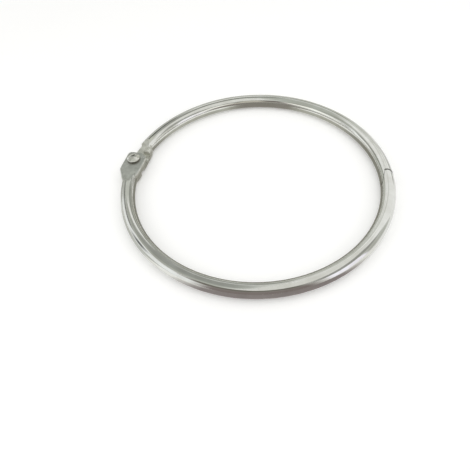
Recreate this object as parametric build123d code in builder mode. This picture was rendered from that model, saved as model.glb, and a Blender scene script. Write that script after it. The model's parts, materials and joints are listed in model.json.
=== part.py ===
from build123d import *
from math import asin, cos, degrees, radians, sin, sqrt
import os

# A hinged snap ring bent from round wire, lying flat and closed. Millimetres and degrees.
# The origin is the centre of the eye, halfway up the wire. +Z is square to the ring, and
# the hinge lies on -X. The front half is on the -Y side and the rear half on the +Y side.

# Ring
eye_diameter = 76.0
wire_diameter = 4.4

# Hinge ears: each half's end is struck flat to one layer, front above and rear below
pivot_offset = 0.75
ear_outer_reach = 3.05
ear_inner_reach = 3.95
ear_end_reach = 3.5
ear_thickness = 1.5
ear_running_gap = 0.1
ear_edge_radius = 0.6
outer_end_radius = 1.5
inner_end_radius = 3.0
outer_corner_radius = 1.2
inner_corner_radius = 2.5
front_outer_edge_length = 4.8
front_outer_flank_length = 12.0
rear_outer_edge_length = 0.8
rear_outer_flank_length = 5.2
inner_edge_length = 5.4
inner_flank_length = 9.6
outer_flank_sink_share = 0.62
inner_flank_sink_share = 0.5

# Stamped flats on both faces of the neck, which run out into the round wire
flat_length = 8.4
flat_runout_angle = 70.0
ear_flat_tip_offset = -0.1
ear_flat_inner_length = 2.6
back_flat_tip_offset = 1.2
back_flat_inner_length = 5.0

# Shoulder where a half's other layer ends, with its outer corner open for the swing
shoulder_length = 4.2
relief_inset = 1.75
relief_length = 8.4
relief_overhang = 0.8
relief_margin = 0.2

# Hinge rivet
shank_diameter = 2.4
shank_fit = 0.02
shank_running_clearance = 0.05
head_diameter = 4.3
head_rim = 0.6
head_crown = 0.6
head_edge_radius = 0.2
tail_diameter = 3.8
tail_rim = 0.25
tail_crown = 0.3
tail_running_gap = 0.05

# Snap lap: the rear half ends in an inner tongue, the front half in an outer nose
closure_angle = 14.5
lap_length = 5.0
tongue_root = 1.6
tongue_tip = 0.3
lap_clearance = 0.1
mouth_radius = 2.6
nose_gap = 0.25
tongue_gap = 0.3
snap_radius = 0.5
snap_height = 0.2
snap_length = 2.0
snap_place_share = 0.35

# Length that every cut runs on past the metal
overrun = 3.0

# Values worked out from the sizes above
eye_radius = eye_diameter / 2
wire_radius = wire_diameter / 2
ring_radius = eye_radius + wire_radius
pivot_x = -(ring_radius + pivot_offset)
outer_edge_x = pivot_x - ear_outer_reach
inner_edge_x = pivot_x + ear_inner_reach
ear_face = ear_running_gap / 2
ear_top = ear_face + ear_thickness
shank_radius = shank_diameter / 2
tip_angle = closure_angle - degrees(lap_length / ring_radius)
mouth_angle = closure_angle - degrees(mouth_radius / ring_radius)
wire_start = degrees(asin(ear_end_reach / ring_radius))
front_side = Plane.XY
rear_side = Plane(origin=(0, 0, 0), x_dir=(1, 0, 0), z_dir=(0, 0, -1))


def polar(radius, angle):
    """Point at a radius and an angle about the centre of the eye."""
    return Vector(radius * cos(radians(angle)), radius * sin(radians(angle)))


def by_hinge(offset, distance):
    """Point offset outwards from the wire's centre line, a distance short of the hinge."""
    radius = ring_radius + offset
    return Vector(-sqrt(radius**2 - distance**2), -distance)


def flat_corners(tip_offset, inner_length):
    """Corners of a stamped flat, whose inner side slants from the ear to a tip on the wire."""
    tip = by_hinge(tip_offset, flat_length)
    inner = Vector(inner_edge_x, -inner_length)
    stretch = (flat_length + ear_end_reach) / (flat_length - inner_length)
    past_ear = tip + (inner - tip) * stretch
    return [
        tip,
        past_ear,
        Vector(outer_edge_x - overrun, past_ear.Y),
        Vector(outer_edge_x - overrun, tip.Y),
    ]


def half_ring(side, outer_edge_length, outer_flank_length, sweep_end, hole_radius):
    """One half from its ear to the angle sweep_end, with the ear's layer on the side's +z."""
    corners = [
        Vector(outer_edge_x, -outer_edge_length),
        Vector(outer_edge_x, ear_end_reach),
        Vector(inner_edge_x, ear_end_reach),
        Vector(inner_edge_x, -inner_edge_length),
    ]
    radii = [outer_corner_radius, outer_end_radius, inner_end_radius, inner_corner_radius]
    with BuildPart() as half:
        # Pad of the ear and its neck, struck to the full thickness of both layers
        with BuildSketch(side.offset(-ear_top)) as pad:
            with BuildLine():
                Polyline(
                    *corners,
                    by_hinge(-wire_radius * inner_flank_sink_share, inner_flank_length),
                    by_hinge(wire_radius * outer_flank_sink_share, outer_flank_length),
                    close=True,
                )
            make_face()
            for corner, radius in zip(corners, radii):
                fillet(pad.vertices().sort_by_distance(corner)[0], radius)
        extrude(amount=2 * ear_top)
        fillet(half.faces().filter_by(Axis.Z).edges(), ear_edge_radius)

        # Round wire, bent about the centre of the eye
        start = 180 + wire_start
        section = Plane(
            origin=side.origin,
            x_dir=side.from_local_coords(polar(1, start)),
            z_dir=side.from_local_coords(polar(1, start - 90)),
        )
        with BuildSketch(section):
            with Locations((ring_radius, 0)):
                Circle(wire_radius)
        revolve(axis=Axis(side.origin, side.z_dir), revolution_arc=sweep_end - start)

        # Stamped flats, level with the pad on the ear's face and on the back
        ear_flat = flat_corners(ear_flat_tip_offset, ear_flat_inner_length)
        back_flat = flat_corners(back_flat_tip_offset, back_flat_inner_length)
        for way, outline in ((1, ear_flat), (-1, back_flat)):
            with BuildSketch(side.offset(way * ear_top)):
                with BuildLine():
                    Polyline(outline, close=True)
                make_face()
            extrude(amount=way * wire_radius, taper=-flat_runout_angle, mode=Mode.SUBTRACT)

        # Room for the other half's ear, up to the shoulder
        with BuildSketch(side.offset(ear_face)):
            with BuildLine():
                Polyline(
                    (pivot_x + relief_inset, -shoulder_length),
                    (inner_edge_x + overrun, -shoulder_length),
                    (inner_edge_x + overrun, ear_end_reach + overrun),
                    (outer_edge_x - overrun, ear_end_reach + overrun),
                    (outer_edge_x - overrun, -front_outer_flank_length),
                    by_hinge(wire_radius + relief_margin, front_outer_flank_length),
                    (pivot_x - relief_overhang, -relief_length),
                    close=True,
                )
            make_face()
        extrude(amount=-(wire_radius + overrun), mode=Mode.SUBTRACT)

        with Locations((pivot_x, 0, 0)):
            Hole(hole_radius)
    return half.part


# Plane of the lap: x runs from the root of the tongue to its tip, and y outwards from it
lap_root = polar(eye_radius + tongue_root, closure_angle)
lap_tip = polar(eye_radius + tongue_tip, tip_angle)
lap_plane = Plane(origin=lap_root, x_dir=lap_tip - lap_root, z_dir=(0, 0, 1))
mouth_centre = lap_plane.to_local_coords(polar(ring_radius, mouth_angle))
snap_centre = (lap_length * snap_place_share, snap_height - snap_radius)

with BuildPart() as front_half:
    add(
        half_ring(
            front_side,
            front_outer_edge_length,
            front_outer_flank_length,
            360 + closure_angle,
            shank_radius + shank_fit,
        )
    )
    with BuildSketch(lap_plane):
        # The nose gets a round end
        with Locations(mouth_centre):
            Rectangle(mouth_radius + overrun, wire_diameter + overrun, align=(Align.MAX, Align.CENTER))
            Circle(mouth_radius - nose_gap, mode=Mode.SUBTRACT)
        # Its inner side is cut away for the tongue
        with Locations((-overrun, lap_clearance)):
            Rectangle(
                lap_length + overrun + tongue_gap, wire_diameter, align=(Align.MIN, Align.MAX)
            )
    extrude(amount=wire_diameter, both=True, mode=Mode.SUBTRACT)
    # Blind groove for the tongue's ridge
    with BuildSketch(lap_plane):
        with Locations(snap_centre):
            Circle(snap_radius + lap_clearance)
    extrude(amount=snap_length / 2 + lap_clearance, both=True, mode=Mode.SUBTRACT)

with BuildPart() as rear_half:
    add(
        half_ring(
            rear_side,
            rear_outer_edge_length,
            rear_outer_flank_length,
            360 - tip_angle,
            shank_radius + shank_running_clearance,
        )
    )
    # A mouth for the nose is cut into the outer side, which leaves the tongue
    with BuildSketch(lap_plane):
        with Locations(mouth_centre):
            Circle(mouth_radius)
        with Locations((mouth_centre.X, 0)):
            Rectangle(lap_length + overrun, wire_diameter + overrun, align=(Align.MIN, Align.MIN))
        Rectangle(
            mouth_radius + overrun, wire_diameter, align=(Align.MIN, Align.MAX), mode=Mode.SUBTRACT
        )
    extrude(amount=wire_diameter, both=True, mode=Mode.SUBTRACT)
    with BuildSketch(lap_plane):
        with Locations(snap_centre):
            Circle(snap_radius)
    extrude(amount=snap_length / 2, both=True)

with BuildPart() as hinge_rivet:
    with BuildSketch(
        Plane(origin=(pivot_x, 0, 0), x_dir=(1, 0, 0), z_dir=(0, -1, 0))
    ) as rivet_profile:
        with BuildLine():
            head_top = ear_top + head_rim + head_crown
            tail_face = -(ear_top + tail_running_gap)
            tail_end = tail_face - tail_rim - tail_crown
            head_dome = RadiusArc(
                (0, head_top),
                (head_diameter / 2, ear_top + head_rim),
                ((head_diameter / 2) ** 2 + head_crown**2) / (2 * head_crown),
            )
            tail_dome = RadiusArc(
                (tail_diameter / 2, tail_face - tail_rim),
                (0, tail_end),
                ((tail_diameter / 2) ** 2 + tail_crown**2) / (2 * tail_crown),
            )
            Polyline(
                head_dome @ 1,
                (head_diameter / 2, ear_top),
                (shank_radius, ear_top),
                (shank_radius, tail_face),
                (tail_diameter / 2, tail_face),
                tail_dome @ 0,
            )
            Line(tail_dome @ 1, head_dome @ 0)
        make_face()
        fillet(rivet_profile.vertices().sort_by_distance(head_dome @ 1)[0], head_edge_radius)
    revolve(axis=Axis((pivot_x, 0, 0), (0, 0, 1)))

front_half.part.label = "front_half"
rear_half.part.label = "rear_half"
hinge_rivet.part.label = "hinge_rivet"

os.makedirs("parts", exist_ok=True)
export_step(front_half.part, "parts/front_half.step")
export_step(rear_half.part, "parts/rear_half.step")
export_step(hinge_rivet.part, "parts/hinge_rivet.step")
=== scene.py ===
"""Dresses a hinged snap ring of nickel-plated wire and sets it in a pale studio."""

import json
import logging
from dataclasses import dataclass
from enum import Enum
from math import cos, radians, sin
from typing import Any

import bpy
from mathutils import Matrix, Vector


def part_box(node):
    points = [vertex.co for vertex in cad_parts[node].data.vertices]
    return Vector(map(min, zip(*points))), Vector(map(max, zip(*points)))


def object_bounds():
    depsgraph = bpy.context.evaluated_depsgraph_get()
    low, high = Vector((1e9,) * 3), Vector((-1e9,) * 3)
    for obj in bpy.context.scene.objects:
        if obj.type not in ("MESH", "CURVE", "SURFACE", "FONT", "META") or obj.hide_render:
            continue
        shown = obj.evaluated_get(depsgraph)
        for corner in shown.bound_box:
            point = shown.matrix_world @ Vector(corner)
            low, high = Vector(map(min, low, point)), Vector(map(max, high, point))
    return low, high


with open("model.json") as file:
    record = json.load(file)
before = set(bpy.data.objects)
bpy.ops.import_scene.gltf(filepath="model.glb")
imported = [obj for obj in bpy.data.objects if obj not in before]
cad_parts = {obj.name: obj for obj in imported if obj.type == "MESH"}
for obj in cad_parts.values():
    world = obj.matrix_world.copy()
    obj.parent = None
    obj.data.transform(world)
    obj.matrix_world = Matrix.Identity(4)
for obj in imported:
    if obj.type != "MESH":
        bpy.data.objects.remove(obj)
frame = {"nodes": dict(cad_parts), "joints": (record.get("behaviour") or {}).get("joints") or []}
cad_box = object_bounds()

log = logging.getLogger("snap_ring")

MM = 0.001

# Height of the floor, and the step that keeps sheets on it apart
FLOOR_HEIGHT = cad_box[0].z
SHEET_STEP = 0.01 * MM

# Values that a noise texture mostly keeps between
NOISE_LOW = 0.3
NOISE_HIGH = 0.7

# Values of a noise texture at which a finish has its first and its second colour in full
FIRST_STOP = 0.35
SECOND_STOP = 0.65

# Blender's wave texture multiplies its scale by this
WAVE_FACTOR = 20

# Colour sockets of a mix node, which shares their names among several
MIX_FIRST = 6
MIX_SECOND = 7
MIX_RESULT = 2

# Factor that takes the height out of a place
LEVEL_ONLY = (1, 1, 0)

WHITE = (1, 1, 1, 1)


class Face(Enum):
    """Which finish a face of a half ring takes; the value is its material's place."""

    WIRE = 0
    STRUCK = 1
    SIDE = 2
    SHEARED = 3


def linear(hex_colour: str) -> tuple[float, float, float, float]:
    """Turn an sRGB hex colour into linear light.

    Args:
        hex_colour: Six hex digits with a leading #.

    Returns:
        Linear red, green and blue, and an alpha of one.
    """
    parts = [int(hex_colour[i : i + 2], 16) / 255 for i in (1, 3, 5)]
    light = [p / 12.92 if p <= 0.04045 else ((p + 0.055) / 1.055) ** 2.4 for p in parts]
    return (*light, 1.0)


def direction(azimuth: float, elevation: float) -> Vector:
    """Point of the unit sphere in a direction from the ring.

    Args:
        azimuth: Angle from +X towards +Y, in degrees.
        elevation: Angle above the floor, in degrees.

    Returns:
        The unit vector.
    """
    level = cos(radians(elevation))
    return Vector(
        (
            level * cos(radians(azimuth)),
            level * sin(radians(azimuth)),
            sin(radians(elevation)),
        )
    )


def add_node(
    tree: bpy.types.NodeTree,
    kind: str,
    inputs: dict[int | str, Any] | None = None,
    stops: tuple[tuple[float, str], ...] = (),
    **settings: Any,
) -> bpy.types.Node:
    """Add one node with its settings, fixed inputs, links and colour stops.

    Args:
        tree: Node tree that gets the node.
        kind: Blender's type name of the node.
        inputs: Socket name or index, to a fixed value or to the output that feeds it.
        stops: Place and hex colour of the two stops of a colour ramp, lower one first.
        **settings: Properties of the node.

    Returns:
        The new node.
    """
    node = tree.nodes.new(kind)
    for name, value in settings.items():
        setattr(node, name, value)
    for socket, value in (inputs or {}).items():
        if isinstance(value, bpy.types.NodeSocket):
            tree.links.new(value, node.inputs[socket])
        else:
            node.inputs[socket].default_value = value
    for index, (place, hex_colour) in enumerate(stops):
        element = node.color_ramp.elements[index]
        element.position = place
        element.color = linear(hex_colour)
    return node


def empty_material(name: str) -> tuple[bpy.types.Material, bpy.types.NodeTree]:
    """Make a material with no nodes in it.

    Args:
        name: Name of the material.

    Returns:
        The material and its node tree.
    """
    material = bpy.data.materials.new(name)
    material.use_nodes = True
    material.node_tree.nodes.clear()
    return material, material.node_tree


def finish_metal(
    tree: bpy.types.NodeTree,
    colour: bpy.types.NodeSocket,
    roughness: bpy.types.NodeSocket,
    normal: bpy.types.NodeSocket,
) -> None:
    """Close a metal's node tree with its shader and output.

    Args:
        tree: Node tree of the material.
        colour: Output that gives the metal's colour.
        roughness: Output that gives its roughness.
        normal: Output that gives its normal.
    """
    shader = add_node(
        tree,
        "ShaderNodeBsdfPrincipled",
        {"Metallic": 1.0, "Base Color": colour, "Roughness": roughness, "Normal": normal},
    )
    add_node(tree, "ShaderNodeOutputMaterial", {"Surface": shader.outputs["BSDF"]})


@dataclass(frozen=True)
class DrawnNickelWire:
    """Bright nickel plate on drawn steel wire.

    Drawing through a die leaves faint lines along the wire, and the thin plate keeps
    them, so the mirror image is pulled into soft streaks that run round the ring. Where
    the snap clicks shut, a dark line of painted shadow runs along the edge of its mouth,
    where the rear half's edge stands over the front half's nose.

    Attributes:
        ring_radius: Radius of the wire's centre line, in metres.
        name: Name of the material.
        plate_colour: Colour of the clear plate.
        cloud_colour: Colour of the clouds in it.
        line_spacing: Distance between drawn lines. Real ones are about 0.03 mm apart and
            are drawn coarser here, so that they show.
        line_length: Distance over which a line fades into the next.
        line_depth: Depth of a line.
        cloud_size: Size of the clouds in the plate.
        mouth_shadow_colour: Colour of the painted shadow along the snap's mouth.
        mouth_shadow_width: Distance from its darkest line at which the painted shadow ends.
        mouth_angle: Angle about the eye of the centre of the snap's round mouth, in degrees.
        mouth_radius: Radius about that centre at which the painted shadow is darkest, by the
            mouth's edge.
        mouth_inset: Distance inside the wire's centre line at which the painted shadow ends by the
            tongue.
        low_roughness: Roughness in the lowest places.
        high_roughness: Roughness in the highest places.
    """

    ring_radius: float
    name: str = "nickel_plated_drawn_wire"
    plate_colour: str = "#E0E1DC"
    cloud_colour: str = "#D5D5CF"
    line_spacing: float = 0.22 * MM
    line_length: float = 9.0 * MM
    line_depth: float = 0.004 * MM
    cloud_size: float = 5.0 * MM
    # Painted shadow: a dark line along the snap's mouth, where the rear half's edge shades the
    # front half's nose.
    mouth_shadow_colour: str = "#5C5A50"
    mouth_shadow_width: float = 0.4 * MM
    mouth_angle: float = 10.8
    mouth_radius: float = 2.65 * MM
    mouth_inset: float = 0.8 * MM
    low_roughness: float = 0.05
    high_roughness: float = 0.12

    def painted_mouth_shadow(
        self,
        tree: bpy.types.NodeTree,
        level: bpy.types.NodeSocket,
        side: bpy.types.NodeSocket,
        turn: bpy.types.NodeSocket,
    ) -> bpy.types.NodeSocket:
        """Tell how strong the painted shadow is along the mouth of the snap.

        Args:
            tree: Node tree of the material.
            level: Place on the wire, without its height.
            side: Distance outside the wire's centre line.
            turn: Angle about the eye, in radians.

        Returns:
            One on the darkest line of painted shadow, down to zero where it ends.
        """
        from_centre = add_node(
            tree,
            "ShaderNodeVectorMath",
            {0: level, 1: self.ring_radius * direction(self.mouth_angle, 0)},
            operation="DISTANCE",
        ).outputs["Value"]
        past_edge = add_node(
            tree,
            "ShaderNodeMath",
            {0: from_centre, 1: self.mouth_radius},
            operation="SUBTRACT",
        ).outputs[0]
        from_edge = add_node(
            tree,
            "ShaderNodeMath",
            {0: past_edge},
            operation="ABSOLUTE",
        ).outputs[0]
        near_edge = add_node(
            tree,
            "ShaderNodeMapRange",
            {
                "Value": from_edge,
                "From Min": 0.0,
                "From Max": self.mouth_shadow_width,
                "To Min": 1.0,
                "To Max": 0.0,
            },
        ).outputs[0]
        behind = add_node(
            tree,
            "ShaderNodeMath",
            {0: turn, 1: radians(self.mouth_angle)},
            operation="GREATER_THAN",
        ).outputs[0]
        outside = add_node(
            tree,
            "ShaderNodeMath",
            {0: side, 1: -self.mouth_inset},
            operation="GREATER_THAN",
        ).outputs[0]
        at_mouth = add_node(
            tree,
            "ShaderNodeMath",
            {0: behind, 1: outside},
            operation="MULTIPLY",
        ).outputs[0]
        return add_node(
            tree,
            "ShaderNodeMath",
            {0: near_edge, 1: at_mouth},
            operation="MULTIPLY",
        ).outputs[0]

    def material(self) -> bpy.types.Material:
        """Build the material, with its lines laid along the bent wire.

        Returns:
            The finished material.
        """
        material, tree = empty_material(self.name)
        place = add_node(tree, "ShaderNodeTexCoord").outputs["Object"]
        axes = add_node(tree, "ShaderNodeSeparateXYZ", {0: place}).outputs
        level = add_node(
            tree,
            "ShaderNodeVectorMath",
            {0: place, 1: LEVEL_ONLY},
            operation="MULTIPLY",
        ).outputs[0]
        reach = add_node(
            tree,
            "ShaderNodeVectorMath",
            {0: level},
            operation="LENGTH",
        ).outputs["Value"]
        side = add_node(
            tree,
            "ShaderNodeMath",
            {0: reach, 1: self.ring_radius},
            operation="SUBTRACT",
        ).outputs[0]
        turn = add_node(
            tree,
            "ShaderNodeMath",
            {0: axes["Y"], 1: axes["X"]},
            operation="ARCTAN2",
        ).outputs[0]
        along = add_node(
            tree,
            "ShaderNodeMath",
            {0: turn, 1: self.ring_radius * self.line_spacing / self.line_length},
            operation="MULTIPLY",
        ).outputs[0]
        on_wire = add_node(
            tree,
            "ShaderNodeCombineXYZ",
            {0: side, 1: axes["Z"], 2: along},
        ).outputs[0]
        lines = add_node(
            tree,
            "ShaderNodeTexNoise",
            {"Vector": on_wire, "Scale": 1 / self.line_spacing, "Detail": 2.0},
        ).outputs[0]
        clouds = add_node(
            tree,
            "ShaderNodeTexNoise",
            {"Vector": place, "Scale": 1 / self.cloud_size, "Detail": 3.0},
        ).outputs[0]
        plate = add_node(
            tree,
            "ShaderNodeValToRGB",
            {0: clouds},
            stops=((FIRST_STOP, self.cloud_colour), (SECOND_STOP, self.plate_colour)),
        ).outputs[0]
        # Painted shadow darkens the plate along the snap's mouth.
        colour = add_node(
            tree,
            "ShaderNodeMix",
            {
                0: self.painted_mouth_shadow(tree, level, side, turn),
                MIX_FIRST: plate,
                MIX_SECOND: linear(self.mouth_shadow_colour),
            },
            data_type="RGBA",
        ).outputs[MIX_RESULT]
        roughness = add_node(
            tree,
            "ShaderNodeMapRange",
            {
                "Value": lines,
                "From Min": NOISE_LOW,
                "From Max": NOISE_HIGH,
                "To Min": self.low_roughness,
                "To Max": self.high_roughness,
            },
        ).outputs[0]
        relief = add_node(
            tree,
            "ShaderNodeBump",
            {"Height": lines, "Strength": 1.0, "Distance": self.line_depth},
        ).outputs[0]
        finish_metal(tree, colour, roughness, relief)
        return material


@dataclass(frozen=True)
class StruckNickelFlat:
    """Nickel plate over a face that was struck flat in a die.

    The die leaves a fine grit that the plate doesn't fill, so the face is an even grey
    that spreads the light instead of mirroring it.

    Attributes:
        name: Name of the material.
        plate_colour: Colour of the raised plate.
        worn_colour: Colour of the plate in the dents.
        grit_size: Grain that the die leaves. It is drawn coarser than life so that it shows.
        grit_depth: Depth of that grain.
        dent_size: Size of the shallow dents between the harder blows.
        dent_depth: Depth of those dents.
        low_roughness: Roughness in the lowest places.
        high_roughness: Roughness in the highest places.
    """

    name: str = "nickel_plated_struck_steel"
    plate_colour: str = "#D0D2CC"
    worn_colour: str = "#BBBDB7"
    grit_size: float = 0.22 * MM
    grit_depth: float = 0.012 * MM
    dent_size: float = 1.6 * MM
    dent_depth: float = 0.05 * MM
    low_roughness: float = 0.34
    high_roughness: float = 0.46

    def material(self) -> bpy.types.Material:
        """Build the material.

        Returns:
            The finished material.
        """
        material, tree = empty_material(self.name)
        place = add_node(tree, "ShaderNodeTexCoord").outputs["Object"]
        grit, dents = (
            add_node(
                tree,
                "ShaderNodeTexNoise",
                {"Vector": place, "Scale": 1 / size, "Detail": 2.0},
            ).outputs[0]
            for size in (self.grit_size, self.dent_size)
        )
        colour = add_node(
            tree,
            "ShaderNodeValToRGB",
            {0: dents},
            stops=((FIRST_STOP, self.worn_colour), (SECOND_STOP, self.plate_colour)),
        ).outputs[0]
        roughness = add_node(
            tree,
            "ShaderNodeMapRange",
            {
                "Value": grit,
                "From Min": NOISE_LOW,
                "From Max": NOISE_HIGH,
                "To Min": self.low_roughness,
                "To Max": self.high_roughness,
            },
        ).outputs[0]
        hollow = add_node(
            tree,
            "ShaderNodeBump",
            {"Height": dents, "Strength": 1.0, "Distance": self.dent_depth},
        ).outputs[0]
        relief = add_node(
            tree,
            "ShaderNodeBump",
            {"Height": grit, "Strength": 1.0, "Distance": self.grit_depth, "Normal": hollow},
        ).outputs[0]
        finish_metal(tree, colour, roughness, relief)
        return material


@dataclass(frozen=True)
class StruckNickelSide(StruckNickelFlat):
    """Nickel plate on the sides, the back and the lap faces of a struck ear.

    The plate is duller there than on the flat. It is also given a paler colour as painted
    light, which lifts the notch by the shoulder and the under layers out of their shade
    and makes the ear's rounded edges read as bright lines.
    """

    name: str = "nickel_plated_struck_side_lightened"
    # Paler than the flat: painted light that lifts these faces out of their shade.
    plate_colour: str = "#F0F0EA"
    worn_colour: str = "#DDDDD5"
    low_roughness: float = 0.55
    high_roughness: float = 0.7


@dataclass(frozen=True)
class RivetRimPaintedShadow(StruckNickelFlat):
    """Nickel plate on the upright rim of a rivet.

    The rim is coloured dark as a painted shadow, so it reads as a dull dark line under
    the bright head.
    """

    name: str = "nickel_plated_rivet_rim_shadow"
    # Dark plate: painted shadow under the rivet's head.
    plate_colour: str = "#98958C"
    worn_colour: str = "#7A776E"
    low_roughness: float = 0.35
    high_roughness: float = 0.5


@dataclass(frozen=True)
class ShearedNickelEnd:
    """Nickel plate over an end that was sheared to its shape.

    Shearing tears the steel in short upright marks, which leave the end dull. Its darker
    grey than the wire is painted shade, for the narrow gap where the two ends meet.

    Attributes:
        name: Name of the material.
        plate_colour: Colour of the plate between the marks.
        torn_colour: Colour in the marks.
        mark_width: Width of a shear mark, drawn coarser than life so that it shows.
        mark_height: Length of a shear mark, square to the ring.
        mark_depth: Depth of a shear mark.
        low_roughness: Roughness between the marks.
        high_roughness: Roughness in the marks.
    """

    name: str = "nickel_plated_sheared_steel_gap_shade"
    # Dark greys: painted shade of the narrow gap where the two ends meet, over the dull sheared
    # finish.
    plate_colour: str = "#8E8B84"
    torn_colour: str = "#69665F"
    mark_width: float = 0.2 * MM
    mark_height: float = 1.5 * MM
    mark_depth: float = 0.02 * MM
    low_roughness: float = 0.3
    high_roughness: float = 0.5

    def material(self) -> bpy.types.Material:
        """Build the material, with its marks square to the ring.

        Returns:
            The finished material.
        """
        material, tree = empty_material(self.name)
        place = add_node(tree, "ShaderNodeTexCoord").outputs["Object"]
        drawn = add_node(
            tree,
            "ShaderNodeVectorMath",
            {0: place, 1: (1, 1, self.mark_width / self.mark_height)},
            operation="MULTIPLY",
        ).outputs[0]
        marks = add_node(
            tree,
            "ShaderNodeTexNoise",
            {"Vector": drawn, "Scale": 1 / self.mark_width, "Detail": 2.0},
        ).outputs[0]
        colour = add_node(
            tree,
            "ShaderNodeValToRGB",
            {0: marks},
            stops=((FIRST_STOP, self.torn_colour), (SECOND_STOP, self.plate_colour)),
        ).outputs[0]
        roughness = add_node(
            tree,
            "ShaderNodeMapRange",
            {
                "Value": marks,
                "From Min": NOISE_LOW,
                "From Max": NOISE_HIGH,
                "To Min": self.high_roughness,
                "To Max": self.low_roughness,
            },
        ).outputs[0]
        relief = add_node(
            tree,
            "ShaderNodeBump",
            {"Height": marks, "Strength": 1.0, "Distance": self.mark_depth},
        ).outputs[0]
        finish_metal(tree, colour, roughness, relief)
        return material


@dataclass(frozen=True)
class SpunNickelRivet:
    """Nickel plate on a steel rivet whose head was spun over.

    The spinning tool leaves rings about the rivet's axis, which spread the lights into
    short arcs on the dome, and the last blows leave dents that break them into patches.

    Attributes:
        pivot: Point on the rivet's axis, in metres.
        name: Name of the material.
        plate_colour: Colour of the raised plate.
        worn_colour: Colour of the plate in the dents.
        plate_stop: Value of the dents' noise at which the raised colour is full.
        ring_spacing: Distance between the tool's rings, drawn coarser so that they show.
        ring_depth: Depth of a ring.
        ring_waver: How far the rings stray from true circles.
        dent_size: Size of the dents from the last blows.
        dent_depth: Depth of those dents.
        low_roughness: Roughness of the raised plate.
        high_roughness: Roughness in the dents.
    """

    pivot: Vector
    name: str = "nickel_plated_spun_rivet"
    plate_colour: str = "#F2F1EC"
    worn_colour: str = "#D6D6CE"
    plate_stop: float = 0.6
    ring_spacing: float = 0.25 * MM
    ring_depth: float = 0.003 * MM
    ring_waver: float = 1.5
    dent_size: float = 1.6 * MM
    dent_depth: float = 0.32 * MM
    low_roughness: float = 0.05
    high_roughness: float = 0.12

    def material(self) -> bpy.types.Material:
        """Build the material, with its rings about the pivot.

        Returns:
            The finished material.
        """
        material, tree = empty_material(self.name)
        place = add_node(tree, "ShaderNodeTexCoord").outputs["Object"]
        from_axis = add_node(
            tree,
            "ShaderNodeVectorMath",
            {0: place, 1: self.pivot},
            operation="SUBTRACT",
        ).outputs[0]
        rings = add_node(
            tree,
            "ShaderNodeTexWave",
            {
                "Vector": from_axis,
                "Scale": 1 / (WAVE_FACTOR * self.ring_spacing),
                "Distortion": self.ring_waver,
            },
            wave_type="RINGS",
            rings_direction="Z",
        ).outputs["Fac"]
        dents = add_node(
            tree,
            "ShaderNodeTexNoise",
            {"Vector": from_axis, "Scale": 1 / self.dent_size, "Detail": 1.0},
        ).outputs[0]
        colour = add_node(
            tree,
            "ShaderNodeValToRGB",
            {0: dents},
            stops=((FIRST_STOP, self.worn_colour), (self.plate_stop, self.plate_colour)),
        ).outputs[0]
        roughness = add_node(
            tree,
            "ShaderNodeMapRange",
            {
                "Value": dents,
                "From Min": NOISE_LOW,
                "From Max": NOISE_HIGH,
                "To Min": self.high_roughness,
                "To Max": self.low_roughness,
            },
        ).outputs[0]
        hollow = add_node(
            tree,
            "ShaderNodeBump",
            {"Height": dents, "Strength": 1.0, "Distance": self.dent_depth},
        ).outputs[0]
        relief = add_node(
            tree,
            "ShaderNodeBump",
            {"Height": rings, "Strength": 1.0, "Distance": self.ring_depth, "Normal": hollow},
        ).outputs[0]
        finish_metal(tree, colour, roughness, relief)
        return material


@dataclass
class HalfRing:
    """One half of the ring: a bent wire that ends in a struck hinge ear.

    Attributes:
        node: Name of the half's CAD node.
        ring_radius: Radius of the wire's centre line, in metres.
        wire_radius: Radius of the wire, in metres.
        pivot: Point on the hinge's axis, in metres.
        ear_side: One if the half's ear is the upper layer, minus one if the lower.
        struck_length: Distance from the pivot within which the end was struck.
        level_share: How level a struck flat is, where one is quite level.
        lap_height: Height on the ear's side under which a face laps the other half.
        tolerance: How far a face of the round wire may lie off the true round.
    """

    node: str
    ring_radius: float
    wire_radius: float
    pivot: Vector
    ear_side: int
    struck_length: float = 14 * MM
    level_share: float = 0.85
    lap_height: float = 0.3 * MM
    tolerance: float = 0.06 * MM

    def face_kind(self, polygon: bpy.types.MeshPolygon) -> Face:
        """Tell the faces that the die struck or the shear cut from the round wire.

        Args:
            polygon: Face of the half's mesh.

        Returns:
            The kind of the face.
        """
        reach = polygon.center.xy.length - self.ring_radius
        depth = self.wire_radius - Vector((reach, polygon.center.z)).length
        if abs(depth) < self.tolerance:
            return Face.WIRE
        if (polygon.center.xy - self.pivot.xy).length > self.struck_length:
            return Face.SHEARED
        # Faces that are not level struck flats high on the ear take the side finish, made paler as
        # painted light.
        level = polygon.normal.z * self.ear_side > self.level_share
        high = polygon.center.z * self.ear_side > self.lap_height
        return Face.STRUCK if level and high else Face.SIDE

    def dress(self, finishes: dict[Face, bpy.types.Material]) -> bpy.types.Object:
        """Give each face of the half the finish of its kind.

        Args:
            finishes: Finish of each kind of face.

        Returns:
            The dressed half.
        """
        half = frame["nodes"][self.node]
        half.data.materials.clear()
        for kind in Face:
            half.data.materials.append(finishes[kind])
        for polygon in half.data.polygons:
            polygon.material_index = self.face_kind(polygon).value
        return half


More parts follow.
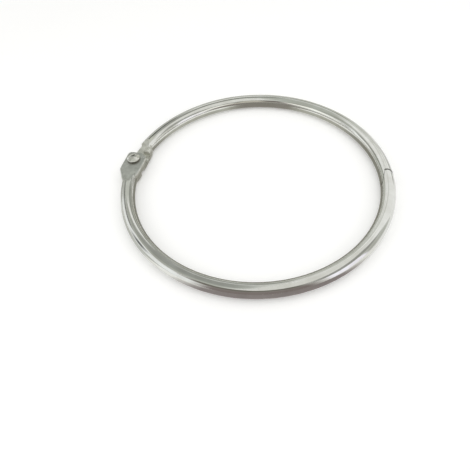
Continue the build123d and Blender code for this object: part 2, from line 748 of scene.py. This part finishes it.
@dataclass
class HingeRivet:
    """The rivet that the two halves turn on.

    Attributes:
        node: Name of the rivet's CAD node.
        rim_share: Upright share of a face's normal, under which the face is part of a rim.
    """

    node: str = "hinge_rivet"
    rim_share: float = 0.5

    def dress(self, spun: bpy.types.Material, rim: bpy.types.Material) -> bpy.types.Object:
        """Give the rivet's domes their finish, and its rims a dark one that paints the shadow
        under the head.

        Args:
            spun: Finish of the domes.
            rim: Finish of the upright sides, dark as a painted shadow under the head.

        Returns:
            The dressed rivet.
        """
        rivet = frame["nodes"][self.node]
        rivet.data.materials.clear()
        rivet.data.materials.append(spun)
        rivet.data.materials.append(rim)
        for polygon in rivet.data.polygons:
            # Upright faces take the dark rim finish, a painted shadow under the head.
            polygon.material_index = int(abs(polygon.normal.z) < self.rim_share)
        return rivet


def fade_in(share: float, soft: float) -> float:
    """Tell how solid a sheet is at a share of the way across it.

    Args:
        share: Place across the sheet, from 0 to 1.
        soft: Share of the sheet over which each side fades out.

    Returns:
        One where the sheet is solid, down to zero at a soft side.
    """
    return min(1.0, min(share, 1 - share) / soft) if soft else 1.0


@dataclass(frozen=True, kw_only=True)
class Card:
    """A soft-edged sheet of paper about the ring's axis, which shows only in the metal.

    Attributes:
        name: Name of the card.
        shade: Colour of the card.
        azimuths: Its two ends, from +X towards +Y, in degrees.
        level: Brightness, where one is as bright as the white background.
        soft_ends: Share of its length over which each end fades out.
        soft_edges: Share of its width over which each edge fades out.
        steps: Number of flat strips each way.
    """

    name: str
    shade: str
    azimuths: tuple[float, float]
    level: float = 1.0
    soft_ends: float = 0.15
    soft_edges: float = 0.15
    steps: int = 24

    def point(self, azimuth: float, across: float) -> Vector:
        """Point of the sheet, at an azimuth in degrees and a share of the way across."""
        raise NotImplementedError

    def material(self) -> bpy.types.Material:
        """Make paper that glows evenly and fades out where the sheet's fade says so.

        Returns:
            The material.
        """
        material, tree = empty_material(self.name + "_paper")
        glow = add_node(
            tree,
            "ShaderNodeEmission",
            {"Color": linear(self.shade), "Strength": self.level},
        ).outputs[0]
        clear = add_node(tree, "ShaderNodeBsdfTransparent").outputs[0]
        fade = add_node(tree, "ShaderNodeAttribute", attribute_name="fade").outputs["Fac"]
        sheet = add_node(tree, "ShaderNodeMixShader", {0: fade, 1: clear, 2: glow})
        add_node(tree, "ShaderNodeOutputMaterial", {"Surface": sheet.outputs[0]})
        return material

    def build(self) -> bpy.types.Object:
        """Bend the sheet and hide it from the camera.

        Returns:
            The card.
        """
        shares = [i / self.steps for i in range(self.steps + 1)]
        points = []
        fade = []
        for u in shares:
            azimuth = self.azimuths[0] + (self.azimuths[1] - self.azimuths[0]) * u
            for v in shares:
                points.append(self.point(azimuth, v))
                fade.append(fade_in(u, self.soft_ends) * fade_in(v, self.soft_edges))
        row = len(shares)
        faces = [
            (i * row + j, (i + 1) * row + j, (i + 1) * row + j + 1, i * row + j + 1)
            for i in range(self.steps)
            for j in range(self.steps)
        ]
        mesh = bpy.data.meshes.new(self.name)
        mesh.from_pydata(points, [], faces)
        mesh.attributes.new("fade", "FLOAT", "POINT").data.foreach_set("value", fade)
        mesh.materials.append(self.material())
        card = bpy.data.objects.new(self.name, mesh)
        bpy.context.scene.collection.objects.link(card)
        card.visible_camera = False
        card.visible_diffuse = False
        card.visible_shadow = False
        return card


@dataclass(frozen=True, kw_only=True)
class DomeCard(Card):
    """A card that is part of a dome over the ring.

    Attributes:
        elevations: Its lower and upper edge above the floor, in degrees.
        radius: Radius of the dome, in metres, smaller for a card in front of others.
    """

    elevations: tuple[float, float]
    radius: float = 330 * MM

    def point(self, azimuth: float, across: float) -> Vector:
        """Point of the dome, at an azimuth in degrees and a share of the way up."""
        low, high = self.elevations
        return self.radius * direction(azimuth, low + (high - low) * across)


@dataclass(frozen=True, kw_only=True)
class LevelCard(Card):
    """A level card.

    Attributes:
        reaches: Distances of its inner and outer edge from the ring's axis, in metres.
        height: Height at which it lies, in metres above the middle of the wire.
    """

    reaches: tuple[float, float]
    height: float

    def point(self, azimuth: float, across: float) -> Vector:
        """Point of the sheet, at an azimuth in degrees and a share of the way out."""
        near, far = self.reaches
        return (near + (far - near) * across) * direction(azimuth, 0) + Vector((0, 0, self.height))


@dataclass(frozen=True, kw_only=True)
class FloorCard(LevelCard):
    """A card that lies on the floor, as the lowest sheet unless its height says otherwise."""

    height: float = FLOOR_HEIGHT + SHEET_STEP
    soft_edges: float = 0.0


@dataclass(frozen=True, kw_only=True)
class ShelfCard(LevelCard):
    """A card that hovers close to the ring, for a short streak on one part of the wire."""

    soft_ends: float = 0.25
    soft_edges: float = 0.2


@dataclass(frozen=True)
class SoftLamp:
    """A square soft lamp aimed at the ring.

    Attributes:
        name: Name of the lamp.
        azimuth: Direction from +X towards +Y, in degrees.
        elevation: Height above the floor, in degrees.
        width: Length of its sides, in metres.
        power: Power in watts.
        distance: Distance from the ring, in metres.
    """

    name: str
    azimuth: float
    elevation: float
    width: float
    power: float
    distance: float = 280 * MM

    def build(self) -> bpy.types.Object:
        """Hang the lamp.

        Returns:
            The lamp.
        """
        light = bpy.data.lights.new(self.name, "AREA")
        light.shape = "SQUARE"
        light.size = self.width
        light.energy = self.power
        lamp = bpy.data.objects.new(self.name, light)
        out = direction(self.azimuth, self.elevation)
        lamp.location = self.distance * out
        lamp.rotation_euler = out.to_track_quat("Z", "Y").to_euler()
        lamp.visible_glossy = False
        bpy.context.scene.collection.objects.link(lamp)
        return lamp


def white_rays(tree: bpy.types.NodeTree) -> bpy.types.NodeSocket:
    """Tell the rays that see the plain white background.

    Args:
        tree: Node tree that gets the nodes.

    Returns:
        One for a ray from the camera, a mirror or glass, and zero for the rest.
    """
    rays = add_node(tree, "ShaderNodeLightPath").outputs
    mirrored = add_node(
        tree,
        "ShaderNodeMath",
        {0: rays["Is Camera Ray"], 1: rays["Is Glossy Ray"]},
        operation="MAXIMUM",
    ).outputs[0]
    return add_node(
        tree,
        "ShaderNodeMath",
        {0: mirrored, 1: rays["Is Transmission Ray"]},
        operation="MAXIMUM",
    ).outputs[0]


@dataclass
class Studio:
    """Floor, background, cards, lamps and camera.

    Attributes:
        ring_radius: Radius of the wire's centre line, in metres.
        floor_colour: Colour of the floor.
        near_fill: Light of its own that brings the floor up to white by the ring.
        far_fill: The same beyond the lamps, where the floor gets less light.
        fill_reaches: Distances from the ring's axis between which one turns to the other.
        floor_half_size: Half the side of the floor, in metres.
        card_reach: Distance from the ring's axis at which the cards on the floor end.
        foot_inside: How far the card under the wire reaches inside its centre line.
        foot_outside: How far that card reaches outside it.
        sky_level: Strength of the even light from all round.
        aim: Point that the camera looks at.
        camera_azimuth: Direction of the camera from +X towards +Y, in degrees.
        camera_elevation: Height of the camera above the floor, in degrees.
        camera_distance: Distance from the camera to its aim.
        camera_roll: Turn of the camera about its own line of sight, in degrees.
        camera_clip: Nearest and farthest distance that the camera sees, in metres.
        lens: Focal length, in millimetres.
        sensor: Width of the camera's sensor, in millimetres.
        lamps: Lamps that light the floor, which the metal doesn't mirror.
        dome: Cards overhead and all round, for the broad bands on the wire.
        shelves: Cards close to the ring, for its shorter streaks and the hinge.
    """

    ring_radius: float
    floor_colour: str = "#F2F2F0"
    near_fill: float = 0.18
    far_fill: float = 0.36
    fill_reaches: tuple[float, float] = (150 * MM, 600 * MM)
    floor_half_size: float = 1.5
    card_reach: float = 300 * MM
    foot_inside: float = 7 * MM
    foot_outside: float = 2 * MM
    sky_level: float = 0.75
    aim: Vector = Vector((-1.1, -22.6, 0)) * MM
    camera_azimuth: float = -72.0
    camera_elevation: float = 52.2
    camera_distance: float = 131.25 * MM
    camera_roll: float = -4.95
    camera_clip: tuple[float, float] = (5 * MM, 10.0)
    lens: float = 35.23
    sensor: float = 36.0
    lamps: tuple[SoftLamp, ...] = (
        SoftLamp("left_lamp", azimuth=-147, elevation=30, width=150 * MM, power=0.10),
        SoftLamp("right_lamp", azimuth=-18, elevation=30, width=130 * MM, power=0.075),
        SoftLamp("top_lamp", azimuth=20, elevation=75, width=260 * MM, power=0.15),
    )
    dome: tuple[DomeCard, ...] = (
        DomeCard(
            name="roof_left", shade="#C4C7C1", azimuths=(85, 275), elevations=(46, 90),
            radius=335 * MM,
        ),
        DomeCard(
            name="roof_right", shade="#EFEFEC", azimuths=(-100, 100), elevations=(50, 90),
        ),
        DomeCard(
            name="upper_left", shade="#B4B6B0", azimuths=(120, 228), elevations=(36, 60),
        ),
        DomeCard(
            name="eaves_left", shade="#767874", azimuths=(144, 180), elevations=(24, 38),
            radius=320 * MM, soft_edges=0.4,
        ),
        DomeCard(
            name="eaves_front", shade="#7A766F", azimuths=(-140, -30), elevations=(31, 53),
        ),
        DomeCard(
            name="eaves_right", shade="#A2A39F", azimuths=(-40, 30), elevations=(31, 53),
        ),
        DomeCard(
            name="back_post", shade="#C4C5BF", azimuths=(104, 114), elevations=(2, 28),
            radius=320 * MM, soft_ends=0.4,
        ),
        DomeCard(
            name="back_eaves", shade="#D0D2CC", azimuths=(78, 104), elevations=(28, 48),
            radius=325 * MM, soft_ends=0.3, soft_edges=0.3,
        ),
        DomeCard(
            name="back", shade="#D0D2CC", azimuths=(62, 152), elevations=(-10, 38),
        ),
        DomeCard(
            name="left", shade="#B4B6B0", azimuths=(130, 172), elevations=(-10, 38),
        ),
        DomeCard(
            name="left_post", shade="#6E706F", azimuths=(184, 206), elevations=(2, 32),
            radius=320 * MM, soft_ends=0.4, soft_edges=0.3,
        ),
        DomeCard(
            name="left_light", shade="#F4F6F8", azimuths=(-205, -112), elevations=(-14, 36),
            level=1.15,
        ),
        DomeCard(
            name="front", shade="#8B8280", azimuths=(-122, -30), elevations=(-14, 38),
            radius=325 * MM,
        ),
        DomeCard(
            name="right_light", shade="#F5F3FF", azimuths=(-33, 4), elevations=(-14, 36),
            level=1.3,
        ),
        DomeCard(
            name="right", shade="#C6C7C2", azimuths=(-4, 26), elevations=(-14, 38),
            radius=325 * MM,
        ),
        DomeCard(
            name="right_back", shade="#8A8A84", azimuths=(44, 66), elevations=(-14, 12),
            radius=325 * MM, soft_edges=0.3,
        ),
    )
    shelves: tuple[ShelfCard, ...] = (
        ShelfCard(
            name="shelf_left", shade="#3E3F3B", azimuths=(130, 172), height=14 * MM,
            reaches=(47 * MM, 61 * MM), soft_ends=0.3, soft_edges=0.25,
        ),
        ShelfCard(
            name="shelf_back", shade="#9A9C96", azimuths=(92, 137), height=40 * MM,
            reaches=(44 * MM, 69 * MM), soft_ends=0.15, soft_edges=0.15,
        ),
        ShelfCard(
            name="shelf_back_left", shade="#9A9C96", azimuths=(131, 150), height=40 * MM,
            reaches=(50 * MM, 75 * MM), soft_ends=0.3, soft_edges=0.15,
        ),
        ShelfCard(
            name="shelf_back_right", shade="#989A94", azimuths=(70, 101), height=40 * MM,
            reaches=(72 * MM, 98 * MM), soft_ends=0.2,
        ),
        ShelfCard(
            name="shelf_eye", shade="#857E73", azimuths=(158, 214), height=5 * MM,
            reaches=(10 * MM, 33 * MM), soft_ends=0.2,
        ),
        ShelfCard(
            name="shelf_front", shade="#A8AAA5", azimuths=(185, 312), height=9 * MM,
            reaches=(0 * MM, 34 * MM), soft_ends=0.15, soft_edges=0.15,
        ),
        ShelfCard(
            name="shelf_front_left", shade="#A6A8A4", azimuths=(195, 285), height=18 * MM,
            reaches=(23 * MM, 47 * MM), soft_ends=0.2,
        ),
        ShelfCard(
            name="shelf_inner", shade="#D0CCC2", azimuths=(99, 111), height=8 * MM,
            reaches=(5 * MM, 34 * MM), soft_edges=0.15,
        ),
        ShelfCard(
            name="shelf_glint", shade="#FFFFFA", azimuths=(74, 94), height=8 * MM,
            reaches=(12 * MM, 32 * MM), level=1.35,
        ),
        ShelfCard(
            name="shelf_glint_left", shade="#FFFFFA", azimuths=(109, 125), height=8 * MM,
            reaches=(10 * MM, 32 * MM), level=1.2,
        ),
        ShelfCard(
            name="shelf_right", shade="#FFFFFF", azimuths=(38, 72), height=20 * MM,
            reaches=(27 * MM, 47 * MM),
        ),
        ShelfCard(
            name="shelf_hinge", shade="#DADCD4", azimuths=(154, 168), height=10 * MM,
            reaches=(36 * MM, 48 * MM), soft_edges=0.25,
        ),
        ShelfCard(
            name="shelf_notch", shade="#D2D4CE", azimuths=(177, 195), height=12 * MM,
            reaches=(35 * MM, 48 * MM), soft_edges=0.25,
        ),
    )

    def floor_cards(self) -> list[FloorCard]:
        """Choose the cards on the floor, which the lower side of the wire mirrors.

        Returns:
            Cards outside the ring, under its wire and inside it.
        """
        inside = (0.0, self.ring_radius)
        outside = (self.ring_radius, self.card_reach)
        foot = (self.ring_radius - self.foot_inside, self.ring_radius + self.foot_outside)
        second_sheet = FLOOR_HEIGHT + 2 * SHEET_STEP
        third_sheet = FLOOR_HEIGHT + 3 * SHEET_STEP
        return [
            FloorCard(name="floor_front", shade="#989090", azimuths=(-113, -28), reaches=outside),
            FloorCard(name="floor_left", shade="#B2B3AE", azimuths=(100, 205), reaches=outside),
            FloorCard(name="floor_corner", shade="#CFD0CC", azimuths=(200, 236), reaches=outside),
            FloorCard(
                name="floor_right", shade="#FFFFFF", azimuths=(-28, 70), reaches=outside,
                level=0.95,
            ),
            FloorCard(
                name="floor_foot", shade="#BDBDB5", azimuths=(0, 360), reaches=foot,
                soft_ends=0.0, soft_edges=0.3,
            ),
            FloorCard(
                name="floor_eye", shade="#94938B", azimuths=(-208, 58), reaches=inside,
                height=second_sheet, soft_ends=0.05,
            ),
            FloorCard(
                name="floor_heart", shade="#94938B", azimuths=(58, 152), reaches=(0 * MM, 21 * MM),
                height=second_sheet,
            ),
            FloorCard(
                name="floor_eye_back", shade="#94908A", azimuths=(79, 118),
                reaches=(15 * MM, self.ring_radius), height=third_sheet, soft_ends=0.2,
            ),
        ]

    def floor_material(self) -> bpy.types.Material:
        """Make pale paper, with enough light of its own to look white.

        Returns:
            The material.
        """
        material, tree = empty_material("pale_paper")
        paper = add_node(
            tree,
            "ShaderNodeBsdfPrincipled",
            {
                "Base Color": linear(self.floor_colour),
                "Roughness": 0.9,
                "Specular IOR Level": 0.0,
            },
        ).outputs[0]
        place = add_node(tree, "ShaderNodeTexCoord").outputs["Object"]
        reach = add_node(
            tree,
            "ShaderNodeVectorMath",
            {0: place},
            operation="LENGTH",
        ).outputs["Value"]
        near, far = self.fill_reaches
        strength = add_node(
            tree,
            "ShaderNodeMapRange",
            {
                "Value": reach,
                "From Min": near,
                "From Max": far,
                "To Min": self.near_fill,
                "To Max": self.far_fill,
            },
        ).outputs[0]
        glow = add_node(tree, "ShaderNodeEmission", {"Strength": strength}).outputs[0]
        nothing = add_node(tree, "ShaderNodeEmission", {"Strength": 0.0}).outputs[0]
        fill = add_node(
            tree,
            "ShaderNodeMixShader",
            {0: white_rays(tree), 1: nothing, 2: glow},
        ).outputs[0]
        both = add_node(tree, "ShaderNodeAddShader", {0: paper, 1: fill})
        add_node(tree, "ShaderNodeOutputMaterial", {"Surface": both.outputs[0]})
        return material

    def build_floor(self) -> bpy.types.Object:
        """Lay the pale floor under the ring.

        Returns:
            The floor.
        """
        half = self.floor_half_size
        corners = ((-half, -half), (half, -half), (half, half), (-half, half))
        mesh = bpy.data.meshes.new("floor")
        mesh.from_pydata([(x, y, FLOOR_HEIGHT) for x, y in corners], [], [(0, 1, 2, 3)])
        mesh.materials.append(self.floor_material())
        floor = bpy.data.objects.new("floor", mesh)
        bpy.context.scene.collection.objects.link(floor)
        return floor

    def build_sky(self) -> bpy.types.World:
        """Make the even light all round, seen as plain white.

        Returns:
            The world.
        """
        world = bpy.data.worlds.new("white_sky")
        world.use_nodes = True
        tree = world.node_tree
        tree.nodes.clear()
        light, seen = (
            add_node(
                tree,
                "ShaderNodeBackground",
                {"Color": WHITE, "Strength": strength},
            ).outputs[0]
            for strength in (self.sky_level, 1.0)
        )
        sky = add_node(
            tree,
            "ShaderNodeMixShader",
            {0: white_rays(tree), 1: light, 2: seen},
        )
        add_node(tree, "ShaderNodeOutputWorld", {"Surface": sky.outputs[0]})
        bpy.context.scene.world = world
        return world

    def build_camera(self) -> bpy.types.Object:
        """Set the camera where it sees the ring from above its front.

        Returns:
            The camera.
        """
        data = bpy.data.cameras.new("camera")
        data.lens = self.lens
        data.sensor_width = self.sensor
        data.clip_start, data.clip_end = self.camera_clip
        camera = bpy.data.objects.new("camera", data)
        out = direction(self.camera_azimuth, self.camera_elevation)
        shift = Matrix.Translation(self.aim + self.camera_distance * out)
        turn = out.to_track_quat("Z", "Y").to_matrix().to_4x4()
        roll = Matrix.Rotation(radians(self.camera_roll), 4, "Z")
        camera.matrix_world = shift @ turn @ roll
        bpy.context.scene.collection.objects.link(camera)
        bpy.context.scene.camera = camera
        return camera

    def build(self) -> list[bpy.types.ID]:
        """Build the whole studio.

        Returns:
            Everything that was built.
        """
        bpy.context.scene.view_settings.view_transform = "Standard"
        cards = (*self.dome, *self.shelves, *self.floor_cards())
        return [
            self.build_floor(),
            self.build_sky(),
            *(card.build() for card in cards),
            *(lamp.build() for lamp in self.lamps),
            self.build_camera(),
        ]


def main() -> None:
    """Dress the ring, set the studio round it and report each piece."""
    logging.basicConfig(level=logging.INFO, format="%(name)s: %(message)s")
    low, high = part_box("front_half")
    wire_radius = (high.z - low.z) / 2
    pivot = Vector(frame["joints"][0]["pos_m"])
    ring_radius = high.x - wire_radius
    finishes = {
        Face.WIRE: DrawnNickelWire(ring_radius).material(),
        Face.STRUCK: StruckNickelFlat().material(),
        Face.SIDE: StruckNickelSide().material(),
        Face.SHEARED: ShearedNickelEnd().material(),
    }
    for node, ear_side in (("front_half", 1), ("rear_half", -1)):
        half = HalfRing(node, ring_radius, wire_radius, pivot, ear_side).dress(finishes)
        log.info("dressed %s", half.name)
    rivet = HingeRivet().dress(SpunNickelRivet(pivot).material(), RivetRimPaintedShadow().material())
    log.info("dressed %s", rivet.name)
    for piece in Studio(ring_radius).build():
        log.info("set up %s", piece.name)


if __name__ == "__main__":
    main()
